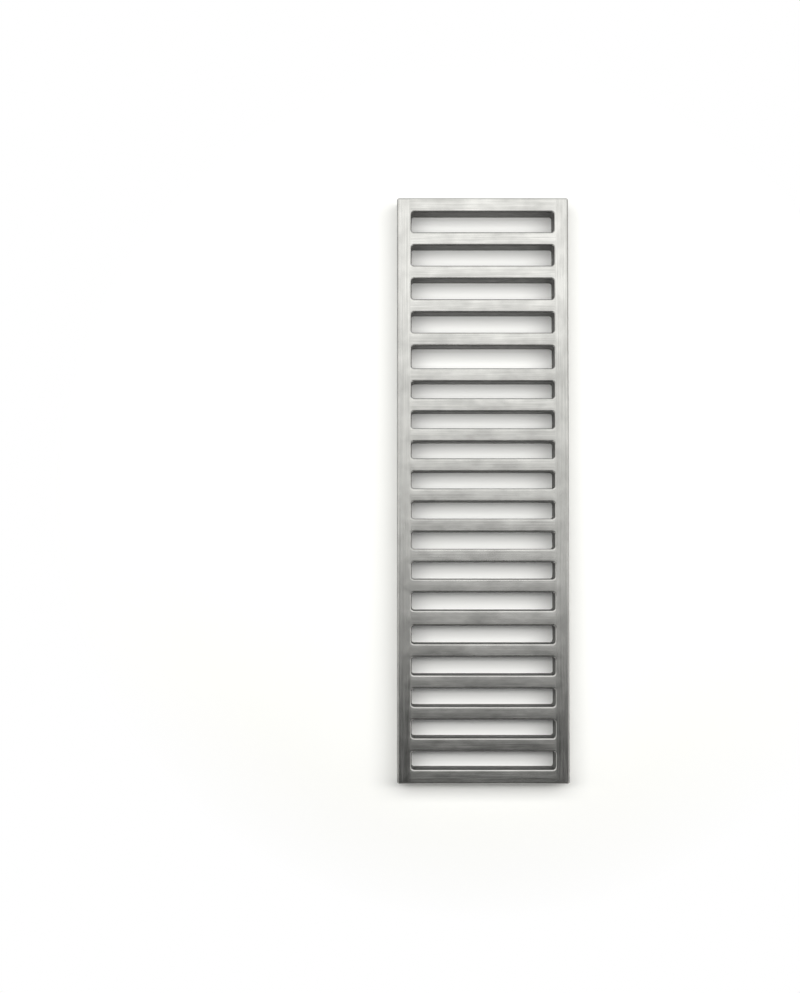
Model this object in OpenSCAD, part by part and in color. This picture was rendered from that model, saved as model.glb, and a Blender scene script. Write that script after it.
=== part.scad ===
// Gutter grate: one plate of stainless steel with a row of cross slots.
// X runs across the grate, Y along it and Z up. The origin is the middle of the underside.

/* [Plate] */
// Width across both side rails
grate_w = 146.5; // [100:0.5:250]
// Thickness from the underside to the walking face
grate_t = 25; // [10:0.5:50]

/* [Rails] */
// Width of each side rail, from the outer edge to the slot ends
side_rail_w = 12.3; // [8:0.1:25]
// Width of the end rail above the first slot
upper_end_rail_w = 12.2; // [8:0.1:30]
// Width of the end rail below the last slot
lower_end_rail_w = 12.3; // [8:0.1:30]

/* [Slots] */
// Number of wide slots in the upper run
upper_slot_count = 4; // [1:1:12]
// Width of each slot in the upper run
upper_slot_w = 17.3; // [12:0.1:30]
// Width of the one broadest slot, between the upper and the middle run
broad_slot_w = 19.1; // [12:0.1:35]
// Number of narrow slots in the middle run
middle_slot_count = 7; // [1:1:12]
// Width of each slot in the middle run
middle_slot_w = 14.2; // [11:0.1:30]
// Number of slots in the lower run
lower_slot_count = 6; // [2:1:12]
// Width of each slot in the lower run
lower_slot_w = 15.1; // [12:0.1:30]

/* [Cross bars] */
// Width of each bar between two slots
bar_w = 11.5; // [6:0.1:20]
// Width of the one wider bar, which follows the first slot of the lower run
wide_bar_w = 13.2; // [6:0.1:20]

/* [Corners and edges] */
// Radius of the plate's four outer corners, seen from above
plate_corner_r = 2; // [2:0.1:8]
// Radius of the slots' corners, seen from above
slot_corner_r = 2.2; // [1:0.1:5]
// Radius of the round edges of the walking face
top_edge_r = 1.3; // [0.3:0.1:1.8]
// Radius of the round edges of the underside
bottom_edge_r = 0.6; // [0.2:0.1:1.8]

/* [Hidden] */

$fn = 48;

// How far a slot cutter passes each face
through = 1;

// Slot widths, and the widths of the bars between them, from the upper end down
slot_widths = concat(
    [for (i = [1 : 1 : upper_slot_count]) upper_slot_w],
    [broad_slot_w],
    [for (i = [1 : 1 : middle_slot_count]) middle_slot_w],
    [for (i = [1 : 1 : lower_slot_count]) lower_slot_w]
);
bar_widths = concat(
    [for (i = [0 : 1 : upper_slot_count + middle_slot_count]) bar_w],
    [wide_bar_w],
    [for (i = [3 : 1 : lower_slot_count]) bar_w]
);
slot_count = len(slot_widths);

// Sum of a list's first n values
function sum(list, n) = n < 1 ? 0 : list[n - 1] + sum(list, n - 1);

slot_l = grate_w - 2 * side_rail_w;
slots_l = sum(slot_widths, slot_count) + sum(bar_widths, slot_count - 1);
grate_l = upper_end_rail_w + slots_l + lower_end_rail_w;

// Y of the middle of slot i, counted from 0 at the upper end
function slot_y(i) =
    grate_l / 2 - upper_end_rail_w
    - sum(slot_widths, i) - sum(bar_widths, i) - slot_widths[i] / 2;

// Upright section of solid metal, w wide, with all four edges round
module solid_section(w) {
    translate([-w / 2, bottom_edge_r])
        square([w, grate_t - top_edge_r - bottom_edge_r]);
    translate([-w / 2 + bottom_edge_r, 0])
        square([w - 2 * bottom_edge_r, bottom_edge_r]);
    translate([-w / 2 + top_edge_r, grate_t - top_edge_r])
        square([w - 2 * top_edge_r, top_edge_r]);
    for (side = [-1, 1]) {
        translate([side * (w / 2 - bottom_edge_r), bottom_edge_r])
            circle(r = bottom_edge_r);
        translate([side * (w / 2 - top_edge_r), grate_t - top_edge_r])
            circle(r = top_edge_r);
    }
}

// Flare of an opening w wide at one face: it spreads over a round edge of radius r, then goes straight on
module flare(w, r) {
    difference() {
        translate([-w / 2 - r, -r])
            square([w + 2 * r, r + through]);
        for (side = [-1, 1])
            translate([side * (w / 2 + r), -r])
                circle(r = r);
    }
}

// Upright section of an opening, w wide at its waist, that spreads at both faces
module opening_section(w) {
    translate([-w / 2, -through])
        square([w, grate_t + 2 * through]);
    translate([0, grate_t])
        flare(w, top_edge_r);
    mirror([0, 1])
        flare(w, bottom_edge_r);
}

// Right half of a section, to be turned about its middle
module half(reach) {
    intersection() {
        children();
        translate([0, -through])
            square([reach, grate_t + 2 * through]);
    }
}

// Copies its children to the four corners of a rectangle
module at_corners(x, y) {
    for (sx = [-1, 1], sy = [-1, 1])
        translate([sx * x / 2, sy * y / 2, 0])
            children();
}

// The plate before its slots are cut
module plate() {
    run_x = grate_w - 2 * plate_corner_r;
    run_y = grate_l - 2 * plate_corner_r;
    rotate([90, 0, 90])
        linear_extrude(run_x, center = true)
            solid_section(grate_l);
    rotate([90, 0, 0])
        linear_extrude(run_y, center = true)
            solid_section(grate_w);
    at_corners(run_x, run_y)
        rotate_extrude()
            half(plate_corner_r)
                solid_section(2 * plate_corner_r);
}

// Cutter for one slot, w wide, with round corners and round edges at both faces
module slot_cutter(w) {
    run_x = slot_l - 2 * slot_corner_r;
    run_y = w - 2 * slot_corner_r;
    rotate([90, 0, 90])
        linear_extrude(run_x, center = true)
            opening_section(w);
    rotate([90, 0, 0])
        linear_extrude(run_y, center = true)
            opening_section(slot_l);
    at_corners(run_x, run_y)
        rotate_extrude()
            half(slot_corner_r + top_edge_r + bottom_edge_r)
                opening_section(2 * slot_corner_r);
}

module grate() {
    color("silver")
        difference() {
            plate();
            for (i = [0 : slot_count - 1])
                translate([0, slot_y(i), 0])
                    slot_cutter(slot_widths[i]);
        }
}

grate();
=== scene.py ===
import bpy
import math
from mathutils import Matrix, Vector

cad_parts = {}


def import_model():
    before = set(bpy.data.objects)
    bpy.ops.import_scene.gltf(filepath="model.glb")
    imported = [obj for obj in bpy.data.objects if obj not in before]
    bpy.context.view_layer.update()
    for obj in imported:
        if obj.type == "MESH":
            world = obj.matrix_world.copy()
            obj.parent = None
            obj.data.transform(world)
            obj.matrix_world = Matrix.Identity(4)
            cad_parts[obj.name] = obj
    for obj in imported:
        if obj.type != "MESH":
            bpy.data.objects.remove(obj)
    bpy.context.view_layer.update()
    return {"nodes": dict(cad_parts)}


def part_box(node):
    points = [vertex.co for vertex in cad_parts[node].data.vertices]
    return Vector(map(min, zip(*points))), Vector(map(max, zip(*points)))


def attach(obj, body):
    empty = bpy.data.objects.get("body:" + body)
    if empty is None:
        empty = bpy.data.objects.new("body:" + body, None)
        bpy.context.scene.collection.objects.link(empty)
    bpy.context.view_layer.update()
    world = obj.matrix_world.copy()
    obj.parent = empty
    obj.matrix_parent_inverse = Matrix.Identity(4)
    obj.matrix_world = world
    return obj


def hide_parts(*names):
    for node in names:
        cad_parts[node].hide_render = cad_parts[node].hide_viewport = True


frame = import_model()        # one node, grate, on one body, root
print("frame loaded:", sorted(frame["nodes"]))


def openOutput(node, name):
    return next(s for s in node.outputs if s.name == name and s.enabled)


def feed(tree, socket, value):
    if isinstance(value, bpy.types.NodeSocket):
        tree.links.new(value, socket)
    else:
        socket.default_value = value


def addNode(tree, kind, inputs=None, **settings):
    node = tree.nodes.new(kind)
    for name, value in settings.items():
        setattr(node, name, value)
    for name, value in (inputs or {}).items():
        feed(tree, next(s for s in node.inputs if s.name == name and s.enabled), value)
    return node


def mathsIn(tree):
    # calc("ADD", a, b) adds one Math node, in a geometry tree or in a shader tree
    def calc(operation, *values):
        node = addNode(tree, "ShaderNodeMath", operation=operation)
        for socket, value in zip(node.inputs, values):
            feed(tree, socket, value)
        return node.outputs[0]
    return calc


# The grate: every size is in metres, and the same as in the solid that it stands for
grate = {
    "Side Rail": 0.0123,
    "Upper End Rail": 0.0122,
    "Upper Slots": 4,
    "Upper Slot Width": 0.0173,
    "Broad Slot Width": 0.0191,
    "Middle Slots": 7,
    "Middle Slot Width": 0.0142,
    "Lower Slots": 6,
    "Lower Slot Width": 0.0151,
    "Bar": 0.0115,
    "Wide Bar": 0.0132,         # the one after the first lower slot
    "Slot Corner": 0.0022,
    "Plate Corner": 0.002,
    "Top Edge": 0.0013,
    "Bottom Edge": 0.0006,
    "Edge Steps": 7,
    "Corner Steps": 8,
    "Slot Side Cuts": 7,
    "Plate Side Cuts": 23,
    "Face Lip": 0.0005,         # flat strip beside each round edge
    "Face Drop": 0.000013,      # fall of that strip, which crowns each bar faintly
    "Shaded Finish Reach": 0.5,   # share of an upper round edge, from the wall up, that has the wall's dark colour, a painted shade line
    "Weld Distance": 0.00001,
}


def ringPlan(calc, steps):
    # a wall's rings, counted up from 0: lip, lower edge, two on the flat wall, upper edge, lip
    return {
        "lowerEdge": 1,
        "lowerEdgeEnd": calc("ADD", steps, 1),
        "wall": calc("ADD", steps, 2),
        "wallTop": calc("ADD", steps, 3),
        "upperEdge": calc("ADD", steps, 4),
        "last": calc("MULTIPLY_ADD", steps, 2, 5),
    }


def reaches(calc, ring, first):
    # rings are whole numbers, so the limit lies half a ring lower
    return calc("GREATER_THAN", ring, calc("SUBTRACT", first, 0.5))


def wallPoint(tree, calc, ring, turn, size, flare):
    # turn goes round the outline, corner by corner; ring climbs from the underside to the face
    # flare is 1 where the round edges widen the outline, as at a slot, and -1 where they narrow it
    perSide = calc("ADD", calc("ADD", size["cornerSteps"], size["sideCuts"]), 1)
    quarter = calc("FLOOR", calc("DIVIDE", calc("ADD", turn, 0.5), perSide))
    along = calc("SUBTRACT", turn, calc("MULTIPLY", quarter, perSide))
    arcShare = calc("MINIMUM", calc("DIVIDE", along, size["cornerSteps"]), 1)
    pastArc = calc("MAXIMUM", calc("SUBTRACT", along, size["cornerSteps"]), 0)
    sideShare = calc("DIVIDE", pastArc, calc("ADD", size["sideCuts"], 1))
    rightAngle = math.pi / 2
    angle = calc("MULTIPLY", calc("ADD", quarter, arcShare), rightAngle)

    def cornerCentre(wave, half):
        # the wave's sign amid a quarter tells on which side of the middle that corner lies
        here = calc("SIGN", calc(wave, calc("MULTIPLY", calc("ADD", quarter, 0.5), rightAngle)))
        there = calc("SIGN", calc(wave, calc("MULTIPLY", calc("ADD", quarter, 1.5), rightAngle)))
        blend = calc("MULTIPLY_ADD", calc("SUBTRACT", there, here), sideShare, here)
        return calc("MULTIPLY", blend, calc("SUBTRACT", half, size["corner"]))

    def arcAngle(firstRing):
        share = calc("DIVIDE", calc("SUBTRACT", ring, firstRing), size["edgeSteps"])
        return calc("MULTIPLY", calc("MINIMUM", calc("MAXIMUM", share, 0), 1), rightAngle)

    plan = ringPlan(calc, size["edgeSteps"])
    low, high = arcAngle(plan["lowerEdge"]), arcAngle(plan["upperEdge"])
    onFirst = calc("SUBTRACT", 1, reaches(calc, ring, plan["lowerEdge"]))
    onLast = reaches(calc, ring, plan["last"])
    widening = calc("MULTIPLY", size["bottomEdge"], calc("SUBTRACT", 1, calc("SINE", low)))
    widening = calc("MULTIPLY_ADD", size["topEdge"], calc("SUBTRACT", 1, calc("COSINE", high)), widening)
    widening = calc("MULTIPLY_ADD", calc("ADD", onFirst, onLast), size["lip"], widening)
    radius = calc("MULTIPLY_ADD", widening, flare, size["corner"])

    lowZ = calc("MULTIPLY", size["bottomEdge"], calc("SUBTRACT", 1, calc("COSINE", low)))
    lowZ = calc("MULTIPLY_ADD", reaches(calc, ring, plan["wall"]), size["lip"], lowZ)
    highZ = calc("MULTIPLY", size["topEdge"], calc("SUBTRACT", calc("SINE", high), 1))
    belowEdge = calc("SUBTRACT", 1, reaches(calc, ring, plan["upperEdge"]))
    highZ = calc("SUBTRACT", highZ, calc("MULTIPLY", belowEdge, size["lip"]))
    highZ = calc("SUBTRACT", highZ, calc("MULTIPLY", calc("SUBTRACT", 1, onLast), size["drop"]))
    highZ = calc("ADD", highZ, size["thickness"])
    z = calc("MULTIPLY_ADD", reaches(calc, ring, plan["wallTop"]), calc("SUBTRACT", highZ, lowZ), lowZ)

    x = calc("MULTIPLY_ADD", radius, calc("COSINE", angle), cornerCentre("COSINE", size["halfX"]))
    y = calc("MULTIPLY_ADD", radius, calc("SINE", angle), cornerCentre("SINE", size["halfY"]))
    y = calc("ADD", y, size["middleY"])
    return addNode(tree, "ShaderNodeCombineXYZ", {"X": x, "Y": y, "Z": z}).outputs[0]


def makeGrateTree():
    tree = bpy.data.node_groups.new("slotted plate", "GeometryNodeTree")
    inputs = {"Plate Width": 0.1, "Plate Length": 0.1, "Thickness": 0.01, **grate}
    inputs.update({"Face Steel": None, "Shaded Wall Steel": None})
    for name, value in inputs.items():
        kind = {int: "Int", float: "Float"}.get(type(value), "Material")
        tree.interface.new_socket(name, in_out="INPUT", socket_type="NodeSocket" + kind)
    tree.interface.new_socket("Geometry", in_out="OUTPUT", socket_type="NodeSocketGeometry")
    given = addNode(tree, "NodeGroupInput").outputs
    calc = mathsIn(tree)

    def stored(name):
        node = addNode(tree, "GeometryNodeInputNamedAttribute", {"Name": name}, data_type="FLOAT")
        return openOutput(node, "Attribute")

    def store(geometry, name, value):
        node = addNode(tree, "GeometryNodeStoreNamedAttribute", {
            "Geometry": geometry, "Name": name, "Value": value}, data_type="FLOAT", domain="POINT")
        return node.outputs[0]

    def join(*parts):
        node = addNode(tree, "GeometryNodeJoinGeometry")
        for part in parts:
            tree.links.new(part, node.inputs[0])
        return node.outputs[0]

    plan = ringPlan(calc, given["Edge Steps"])

    def tube(sideCuts):
        # an open tube whose points remember their ring and their turn
        turns = calc("MULTIPLY", calc("ADD", calc("ADD", given["Corner Steps"], sideCuts), 1), 4)
        shape = addNode(tree, "GeometryNodeMeshCylinder", {
            "Vertices": turns, "Side Segments": plan["last"], "Radius": 1.0, "Depth": 1.0,
        }, fill_type="NONE").outputs["Mesh"]
        position = addNode(tree, "GeometryNodeInputPosition").outputs[0]
        place = addNode(tree, "ShaderNodeSeparateXYZ", {"Vector": position}).outputs
        ring = calc("MULTIPLY", calc("ADD", place["Z"], 0.5), plan["last"])
        circleShare = calc("DIVIDE", calc("ARCTAN2", place["Y"], place["X"]), 2 * math.pi)
        turn = calc("ROUND", calc("MULTIPLY", circleShare, turns))
        shape = store(shape, "ring", calc("ROUND", ring))
        return store(shape, "turn", calc("FLOORED_MODULO", turn, turns))

    # one point for each slot, which holds its width and its middle
    index = addNode(tree, "GeometryNodeInputIndex").outputs[0]

    def before(limit, value, otherwise):
        return addNode(tree, "GeometryNodeSwitch", {
            "Switch": calc("LESS_THAN", index, limit), "False": otherwise, "True": value,
        }, input_type="FLOAT").outputs[0]

    # a slot's number is whole, so each limit lies half way to the next
    broad = calc("ADD", given["Upper Slots"], 0.5)
    lastMiddle = calc("ADD", broad, given["Middle Slots"])
    width = before(lastMiddle, given["Middle Slot Width"], given["Lower Slot Width"])
    width = before(broad, given["Broad Slot Width"], width)
    width = before(calc("SUBTRACT", broad, 1), given["Upper Slot Width"], width)
    bar = before(calc("ADD", lastMiddle, 1), given["Wide Bar"], given["Bar"])
    bar = before(lastMiddle, given["Bar"], bar)
    run = addNode(tree, "GeometryNodeAccumulateField", {"Value": calc("ADD", width, bar)}, data_type="FLOAT")
    start = calc("SUBTRACT", calc("DIVIDE", given["Plate Length"], 2), given["Upper End Rail"])
    middle = calc("SUBTRACT", start, calc("ADD", openOutput(run, "Trailing"), calc("DIVIDE", width, 2)))
    belowBroad = calc("ADD", given["Middle Slots"], given["Lower Slots"])
    slotCount = calc("ADD", calc("ADD", given["Upper Slots"], 1), belowBroad)
    slots = addNode(tree, "GeometryNodePoints", {"Count": slotCount}).outputs[0]
    slots = store(store(slots, "slotWidth", width), "slotMiddle", middle)
    slots = addNode(tree, "GeometryNodeInstanceOnPoints", {
        "Points": slots, "Instance": tube(given["Slot Side Cuts"])}).outputs[0]
    slots = addNode(tree, "GeometryNodeRealizeInstances", {"Geometry": slots}).outputs[0]

    ring, turn = stored("ring"), stored("turn")

    def shaped(walls, size, flare):
        return addNode(tree, "GeometryNodeSetPosition", {
            "Geometry": walls, "Position": wallPoint(tree, calc, ring, turn, size, flare)}).outputs[0]

    def withShadedWallFinish(walls, lowest):
        # marks the rings that get the shaded wall steel, whose dark colour is painted shade, from the lowest
        # one to some way up the round edge
        end = calc("MULTIPLY_ADD", given["Edge Steps"], given["Shaded Finish Reach"], plan["upperEdge"])
        marked = calc("MULTIPLY", reaches(calc, ring, lowest), calc("LESS_THAN", ring, end))
        return store(walls, "wall", marked)

    size = {
        "cornerSteps": given["Corner Steps"],
        "edgeSteps": given["Edge Steps"],
        "topEdge": given["Top Edge"],
        "bottomEdge": given["Bottom Edge"],
        "lip": given["Face Lip"],
        "drop": given["Face Drop"],
        "thickness": given["Thickness"],
        "corner": given["Slot Corner"],
        "sideCuts": given["Slot Side Cuts"],
        "halfX": calc("SUBTRACT", calc("DIVIDE", given["Plate Width"], 2), given["Side Rail"]),
        "halfY": calc("DIVIDE", stored("slotWidth"), 2),
        "middleY": stored("slotMiddle"),
    }
    slots = addNode(tree, "GeometryNodeFlipFaces", {"Mesh": shaped(slots, size, 1)}).outputs[0]
    slots = withShadedWallFinish(slots, plan["lowerEdgeEnd"])

    # the outer sides are brushed like the face, and only the steep part of their round edge has the wall's
    # dark colour, a painted shade line
    size.update({
        "corner": given["Plate Corner"],
        "sideCuts": given["Plate Side Cuts"],
        "halfX": calc("DIVIDE", given["Plate Width"], 2),
        "halfY": calc("DIVIDE", given["Plate Length"], 2),
        "middleY": 0.0,
    })
    rim = withShadedWallFinish(shaped(tube(given["Plate Side Cuts"]), size, -1), plan["upperEdge"])
    walls = join(slots, rim)

    def sheet(edges, height):
        # fills the flat between the rim and the slots
        outline = addNode(tree, "GeometryNodeMeshToCurve", {"Mesh": walls, "Selection": edges}).outputs[0]
        flat = addNode(tree, "GeometryNodeFillCurve", {"Curve": outline}, mode="TRIANGLES").outputs[0]
        lift = addNode(tree, "ShaderNodeCombineXYZ", {"Z": height}).outputs[0]
        return addNode(tree, "GeometryNodeSetPosition", {"Geometry": flat, "Offset": lift}).outputs[0]

    # an edge's ring is the mean of its ends' rings, so only one with both ends there comes this near
    nearby = 0.25
    top = sheet(calc("GREATER_THAN", ring, calc("SUBTRACT", plan["last"], nearby)), given["Thickness"])
    under = sheet(calc("LESS_THAN", ring, nearby), 0.0)
    under = addNode(tree, "GeometryNodeFlipFaces", {"Mesh": under}).outputs[0]

    whole = addNode(tree, "GeometryNodeMergeByDistance", {
        "Geometry": join(walls, top, under), "Distance": given["Weld Distance"]}).outputs[0]
    whole = addNode(tree, "GeometryNodeSetShadeSmooth", {"Geometry": whole, "Shade Smooth": True}).outputs[0]
    whole = addNode(tree, "GeometryNodeRealizeInstances", {"Geometry": whole}).outputs[0]
    whole = addNode(tree, "GeometryNodeSetMaterial", {
        "Geometry": whole, "Material": given["Face Steel"]}).outputs[0]
    # the marked rings get the shaded wall steel, whose dark colour is painted shade
    allPoints = 0.9      # a face's mark is the mean of its points' marks, which are 0 or 1
    whole = addNode(tree, "GeometryNodeSetMaterial", {
        "Geometry": whole, "Selection": calc("GREATER_THAN", stored("wall"), allPoints),
        "Material": given["Shaded Wall Steel"],
    }).outputs[0]
    addNode(tree, "NodeGroupOutput", {"Geometry": whole})
    return tree


def meshFromTree(name, tree, values):
    # runs the tree on an empty mesh and keeps the result as a plain mesh
    carrier = bpy.data.objects.new(name + " carrier", bpy.data.meshes.new(name + " carrier"))
    bpy.context.scene.collection.objects.link(carrier)
    modifier = carrier.modifiers.new("Geometry Nodes", "NODES")
    modifier.node_group = tree
    for item in tree.interface.items_tree:
        if item.in_out == "INPUT":
            modifier[item.identifier] = values[item.name]
    evaluated = carrier.evaluated_get(bpy.context.evaluated_depsgraph_get())
    mesh = bpy.data.meshes.new_from_object(evaluated)
    mesh.name = name
    mesh.materials.pop(index=0)      # the empty place that a node-made tube brings
    bpy.data.objects.remove(carrier)
    piece = bpy.data.objects.new(name, mesh)
    bpy.context.scene.collection.objects.link(piece)
    return piece


# Each layer of grain has the length and width of its marks, its relief and its part in the dulling
steelFinish = {
    "face": (0.79, 0.787, 0.75),
    "faceDull": (0.61, 0.607, 0.578),
    # the walls' dark colour is painted shade: the same stainless, darkened to the shade that the slots'
    # walls take
    "wall": (0.14, 0.139, 0.133),
    "shadedWallDull": (0.092, 0.091, 0.087),
    "roughness": (0.16, 0.24),
    "wallRoughness": (0.45, 0.6),
    "anisotropy": 0.5,
    "streak": {"size": (0.13, 0.0010), "detail": 3.0, "depth": 0.0000025, "dulling": 0.3},
    "scratch": {"size": (0.035, 0.0006), "detail": 2.0, "depth": 0.0000016, "dulling": 0.1},
    "cloud": {"size": (0.026, 0.016), "detail": 2.0, "depth": 0.000115, "dulling": 0.6},
    "wallMark": {"size": (0.012, 0.0012), "detail": 3.0},
    "grainRoughness": 0.55,
    "grainSpan": (0.3, 0.7),        # the part of a layer's 0 to 1 that its values mostly keep to
    "dullSpan": (0.38, 0.62),       # the same for the layers' mix
    "wallMarkSpan": (0.35, 0.65),
    "railCalm": 0.3,                # share of the dull patches' relief that the rails keep
    "railBlend": 0.0022,            # width over which the cross grain gives way to the rail's grain
    "wanderScale": 120.0,
    "wanderDetail": 2.0,
    "wanderWidth": 0.002,           # how far that border strays
    "endTurn": 0.6,                 # a side that faces Y by more than this belongs to an end
}


def grainLayer(tree, coordinates, layer, alongY):
    # noise drawn out along the brushing
    length, width = layer["size"]
    scale = (1 / width, 1 / length, 1 / width) if alongY else (1 / length, 1 / width, 1 / width)
    stretched = addNode(tree, "ShaderNodeMapping", {"Vector": coordinates, "Scale": scale}).outputs[0]
    noise = addNode(tree, "ShaderNodeTexNoise", {
        "Vector": stretched, "Scale": 1.0, "Detail": layer["detail"],
        "Roughness": steelFinish["grainRoughness"],
    })
    return noise.outputs["Fac"]


def mixValue(tree, factor, a, b):
    return addNode(tree, "ShaderNodeMix", {"Factor": factor, "A": a, "B": b}).outputs[0]


def mixColour(tree, factor, a, b):
    node = addNode(tree, "ShaderNodeMix", data_type="RGBA")
    for socket, value in zip([s for s in node.inputs if s.enabled], (factor, a, b)):
        feed(tree, socket, value)
    return openOutput(node, "Result")


def remap(tree, value, low, high, toLow=0.0, toHigh=1.0):
    return addNode(tree, "ShaderNodeMapRange", {
        "Value": value, "From Min": low, "From Max": high, "To Min": toLow, "To Max": toHigh}).outputs[0]


def brushedSteel(name, slotHalf):
    material = bpy.data.materials.new(name)
    material.use_nodes = True
    tree = material.node_tree
    shader = tree.nodes["Principled BSDF"]
    calc = mathsIn(tree)
    coordinates = addNode(tree, "ShaderNodeTexCoord").outputs["Object"]
    place = addNode(tree, "ShaderNodeSeparateXYZ", {"Vector": coordinates}).outputs

    # the rails are brushed along Y, what lies between them and the ends' sides along X
    wander = addNode(tree, "ShaderNodeTexNoise", {
        "Vector": coordinates, "Scale": steelFinish["wanderScale"], "Detail": steelFinish["wanderDetail"],
    }).outputs["Fac"]
    fromSlotEnd = calc("SUBTRACT", calc("ABSOLUTE", place["X"]), slotHalf)
    stray = calc("SUBTRACT", wander, 0.5)
    fromSlotEnd = calc("MULTIPLY_ADD", stray, steelFinish["wanderWidth"], fromSlotEnd)
    onRail = remap(tree, fromSlotEnd, 0.0, steelFinish["railBlend"])
    surface = addNode(tree, "ShaderNodeNewGeometry").outputs["Normal"]
    facing = addNode(tree, "ShaderNodeSeparateXYZ", {"Vector": surface}).outputs
    endward, upward = calc("ABSOLUTE", facing["Y"]), calc("ABSOLUTE", facing["Z"])
    onRail = calc("MULTIPLY", onRail, calc("LESS_THAN", endward, steelFinish["endTurn"]))

    def grain(layer):
        across = grainLayer(tree, coordinates, layer, False)
        return mixValue(tree, onRail, across, grainLayer(tree, coordinates, layer, True))

    streak, scratch, cloud = steelFinish["streak"], steelFinish["scratch"], steelFinish["cloud"]
    streaks, scratches, clouds = grain(streak), grain(scratch), grain(cloud)
    dullness = calc("MULTIPLY", clouds, cloud["dulling"])
    dullness = calc("MULTIPLY_ADD", streaks, streak["dulling"], dullness)
    dullness = calc("MULTIPLY_ADD", scratches, scratch["dulling"], dullness)
    shade = remap(tree, dullness, *steelFinish["dullSpan"])
    colour = mixColour(tree, shade, (*steelFinish["face"], 1), (*steelFinish["faceDull"], 1))
    feed(tree, shader.inputs["Base Color"], colour)
    roughness = remap(tree, scratches, *steelFinish["grainSpan"], *steelFinish["roughness"])
    feed(tree, shader.inputs["Roughness"], roughness)

    wave = calc("MULTIPLY", calc("SUBTRACT", clouds, 0.5), upward)      # the upright sides are flatter
    wave = calc("MULTIPLY", wave, mixValue(tree, onRail, 1.0, steelFinish["railCalm"]))
    relief = calc("MULTIPLY", scratches, scratch["depth"])
    relief = calc("MULTIPLY_ADD", streaks, streak["depth"], relief)
    relief = calc("MULTIPLY_ADD", wave, cloud["depth"], relief)
    bump = addNode(tree, "ShaderNodeBump", {"Height": relief, "Distance": 1.0, "Strength": 1.0})
    feed(tree, shader.inputs["Normal"], bump.outputs[0])

    # the highlight spreads across the grain
    fromRail = calc("SUBTRACT", 1, onRail)
    along = addNode(tree, "ShaderNodeCombineXYZ", {"X": fromRail, "Y": onRail}).outputs[0]
    across = addNode(tree, "ShaderNodeVectorMath", operation="CROSS_PRODUCT")
    feed(tree, across.inputs[0], surface)
    feed(tree, across.inputs[1], along)
    feed(tree, shader.inputs["Tangent"], across.outputs[0])
    shader.inputs["Metallic"].default_value = 1.0
    shader.inputs["Anisotropic"].default_value = steelFinish["anisotropy"]
    return material


# stainless for the slot walls and the steep parts of round edges; its dark colour is painted shade, its
# marks and roughness are its own
def shadedWallSteel(name):
    material = bpy.data.materials.new(name)
    material.use_nodes = True
    tree = material.node_tree
    shader = tree.nodes["Principled BSDF"]
    coordinates = addNode(tree, "ShaderNodeTexCoord").outputs["Object"]
    marks = grainLayer(tree, coordinates, steelFinish["wallMark"], False)
    shade = remap(tree, marks, *steelFinish["wallMarkSpan"])
    colour = mixColour(tree, shade, (*steelFinish["wall"], 1), (*steelFinish["shadedWallDull"], 1))
    feed(tree, shader.inputs["Base Color"], colour)
    roughness = remap(tree, marks, *steelFinish["grainSpan"], *steelFinish["wallRoughness"])
    feed(tree, shader.inputs["Roughness"], roughness)
    shader.inputs["Metallic"].default_value = 1.0
    return material


cadLow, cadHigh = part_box("grate")
plateWidth, plateLength, plateThickness = cadHigh - cadLow
slotHalf = plateWidth / 2 - grate["Side Rail"]
sizes = dict(grate)
sizes.update({
    "Plate Width": plateWidth,
    "Plate Length": plateLength,
    "Thickness": plateThickness,
    "Face Steel": brushedSteel("brushed stainless", slotHalf),
    "Shaded Wall Steel": shadedWallSteel("shaded wall stainless"),
})
grateBody = meshFromTree("slotted_grate", makeGrateTree(), sizes)
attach(grateBody, "root")
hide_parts("grate")
print("grate made:", len(grateBody.data.polygons), "faces")


# Camera: nearly straight down, from above the left rail, as the photograph was taken
photo = {
    "height": 993,
    "focalPixels": 1680,
    "sensor": 36,           # millimetres
    "near": 0.05,
    "far": 60,
    "place": (-0.0708, -0.0523, 1.4561),
    "tilt": 1.848,          # degrees, looking up the picture
}
lens = bpy.data.cameras.new("camera")
lens.sensor_width = photo["sensor"]
lens.lens = photo["focalPixels"] / photo["height"] * lens.sensor_width
lens.clip_start = photo["near"]
lens.clip_end = photo["far"]
camera = bpy.data.objects.new("camera", lens)
camera.location = photo["place"]
camera.rotation_euler = (math.radians(photo["tilt"]), 0, 0)
bpy.context.scene.collection.objects.link(camera)
bpy.context.scene.camera = camera


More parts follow.
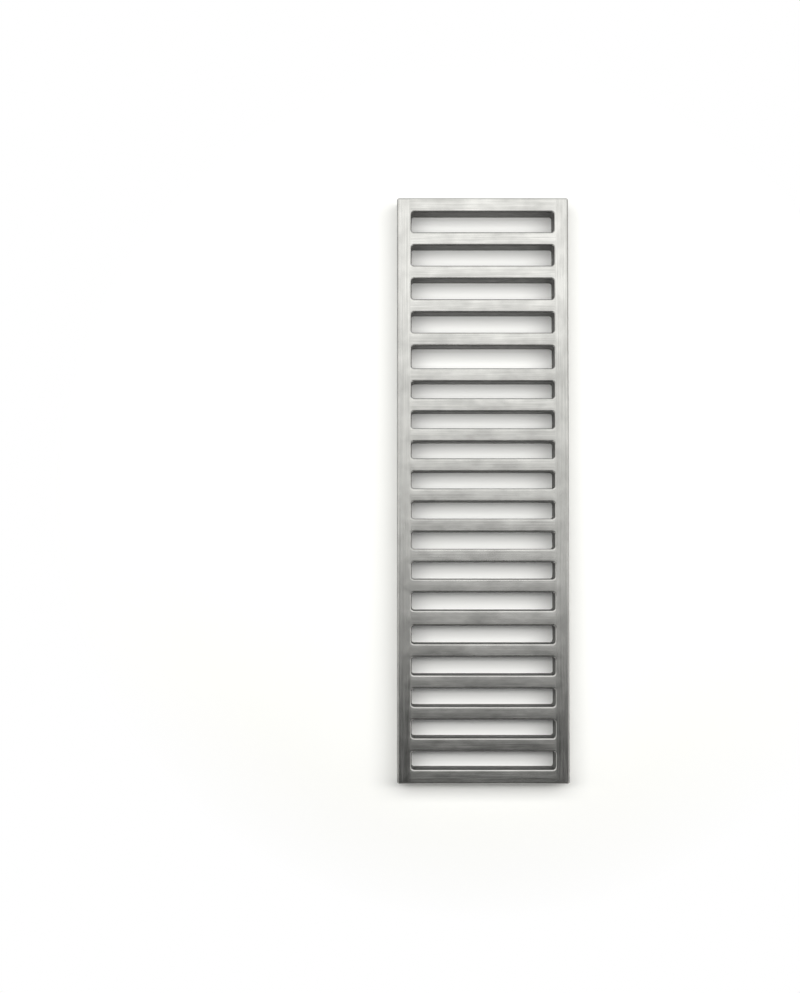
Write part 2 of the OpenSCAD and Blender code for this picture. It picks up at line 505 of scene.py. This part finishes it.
# Floor and light. Each sky list holds pairs: how far a direction leans that way,
# and the glow that the steel mirrors from there
studio = {
    "floorSize": 12.0,
    "floorColour": (0.93, 0.93, 0.9),
    "floorRoughness": 0.9,
    "floorGlow": 0.05,
    "floorFade": (0.28, 0.37),      # metres from the middle over which the floor turns plain white
    "skyAlongY": [
        (-1.0, 0.4), (-0.95, 0.2), (-0.87, 0.1), (-0.3, 0.1), (-0.16, 0.03), (-0.115, 0.01),
        (-0.08, 0.07), (-0.027, 0.53), (0.026, 0.69), (0.079, 0.83), (0.131, 1.15), (0.183, 1.33),
        (0.26, 1.22), (0.4, 0.95), (1.0, 0.65),
    ],
    "skyPeakX": 0.056,              # the glow is strongest along this line
    "skyOffPeak": [                 # share of it that is left beside that line
        (0.0, 1.12), (0.04, 1.0), (0.08, 0.9), (0.15, 0.8), (0.3, 0.7), (1.0, 0.7),
    ],
    "skySide": (0.2, 0.38),         # lean to a side over which the next two lists take over
    "skyAlongX": [
        (0.0, 1.1), (0.45, 1.1), (0.62, 0.6), (0.8, 0.36), (1.0, 0.4),
    ],
    "skySideByY": [                 # share of it, by the lean up the picture
        (-1.0, 0.55), (-0.11, 0.55), (-0.04, 1.2), (0.04, 1.2), (0.09, 1.0), (1.0, 1.0),
    ],
    "ambient": 0.03,
    "lamps": {
        "key": {"middle": (0.3, 0.95, 2.45), "size": (4.4, 1.55), "watts": 79},
        "fill": {"middle": (0.3, -0.02, 1.2), "size": (4.4, 0.3), "watts": 13},
    },
}


def makeFloor():
    half = studio["floorSize"] / 2
    corners = [(-half, -half, 0), (half, -half, 0), (half, half, 0), (-half, half, 0)]
    mesh = bpy.data.meshes.new("floor")
    mesh.from_pydata(corners, [], [(0, 1, 2, 3)])
    floor = bpy.data.objects.new("floor", mesh)
    bpy.context.scene.collection.objects.link(floor)
    material = bpy.data.materials.new("pale floor")
    material.use_nodes = True
    tree = material.node_tree
    shader = tree.nodes["Principled BSDF"]
    shader.inputs["Roughness"].default_value = studio["floorRoughness"]
    shader.inputs["Specular IOR Level"].default_value = 0.0
    shader.inputs["Emission Color"].default_value = (1, 1, 1, 1)
    calc = mathsIn(tree)
    path = addNode(tree, "ShaderNodeLightPath").outputs
    seen = calc("MAXIMUM", path["Is Camera Ray"], path["Is Glossy Ray"])
    coordinates = addNode(tree, "ShaderNodeTexCoord").outputs["Object"]
    away = addNode(tree, "ShaderNodeVectorMath", {"Vector": coordinates}, operation="LENGTH")
    far = calc("MULTIPLY", seen, remap(tree, away.outputs["Value"], *studio["floorFade"]))
    colour = mixColour(tree, far, (*studio["floorColour"], 1), (0, 0, 0, 1))
    feed(tree, shader.inputs["Base Color"], colour)
    glow = calc("MULTIPLY", seen, studio["floorGlow"])
    feed(tree, shader.inputs["Emission Strength"], mixValue(tree, far, glow, 1.0))
    mesh.materials.append(material)


def makeWorld():
    # the steel mirrors a glow that is strong up the picture and dim down it; the camera sees plain white
    world = bpy.data.worlds.new("studio")
    world.use_nodes = True
    bpy.context.scene.world = world
    tree = world.node_tree
    tree.nodes.clear()
    calc = mathsIn(tree)
    direction = addNode(tree, "ShaderNodeTexCoord").outputs["Generated"]
    place = addNode(tree, "ShaderNodeSeparateXYZ", {"Vector": direction}).outputs

    def glowAlong(axis, lowest, glows):
        # a grey ramp from the lowest lean up to 1
        share = calc("DIVIDE", calc("SUBTRACT", axis, lowest), 1 - lowest)
        ramp = addNode(tree, "ShaderNodeValToRGB", {"Fac": share})
        stops = ramp.color_ramp.elements
        while len(stops) < len(glows):
            stops.new(1.0)
        for stop, (lean, glow) in zip(stops, glows):
            stop.position = (lean - lowest) / (1 - lowest)
            stop.color = (glow, glow, glow, 1)
        return ramp.outputs["Color"]

    fromPeak = calc("ABSOLUTE", calc("SUBTRACT", place["X"], studio["skyPeakX"]))
    offPeak = glowAlong(fromPeak, 0, studio["skyOffPeak"])
    overhead = calc("MULTIPLY", glowAlong(place["Y"], -1, studio["skyAlongY"]), offPeak)
    sideways = calc("ABSOLUTE", place["X"])
    sideByY = glowAlong(place["Y"], -1, studio["skySideByY"])
    sideGlow = calc("MULTIPLY", glowAlong(sideways, 0, studio["skyAlongX"]), sideByY)
    sideStart, sideFull = studio["skySide"]
    onSide = addNode(tree, "ShaderNodeMapRange", {
        "Value": sideways, "From Min": sideStart, "From Max": sideFull,
    }, interpolation_type="SMOOTHSTEP").outputs[0]
    glow = mixValue(tree, onSide, overhead, sideGlow)
    path = addNode(tree, "ShaderNodeLightPath").outputs
    strength = mixValue(tree, path["Is Glossy Ray"], studio["ambient"], glow)
    strength = mixValue(tree, path["Is Camera Ray"], strength, 1.0)
    background = addNode(tree, "ShaderNodeBackground", {"Color": (1, 1, 1, 1), "Strength": strength})
    addNode(tree, "ShaderNodeOutputWorld", {"Surface": background.outputs[0]})
    world.cycles.sampling_method = "NONE"       # so that the kind of each ray is known


def makeLamps():
    # wide soft lamps for the floor and its shadows; the steel mirrors the studio's glow instead
    for name, place in studio["lamps"].items():
        light = bpy.data.lights.new(name, "AREA")
        light.shape = "RECTANGLE"
        light.size, light.size_y = place["size"]
        light.energy = place["watts"]
        lamp = bpy.data.objects.new(name, light)
        lamp.location = place["middle"]
        lamp.visible_camera = False
        lamp.visible_glossy = False
        bpy.context.scene.collection.objects.link(lamp)


makeFloor()
makeWorld()
makeLamps()
bpy.context.scene.view_settings.view_transform = "Standard"
print("floor, light and camera made")
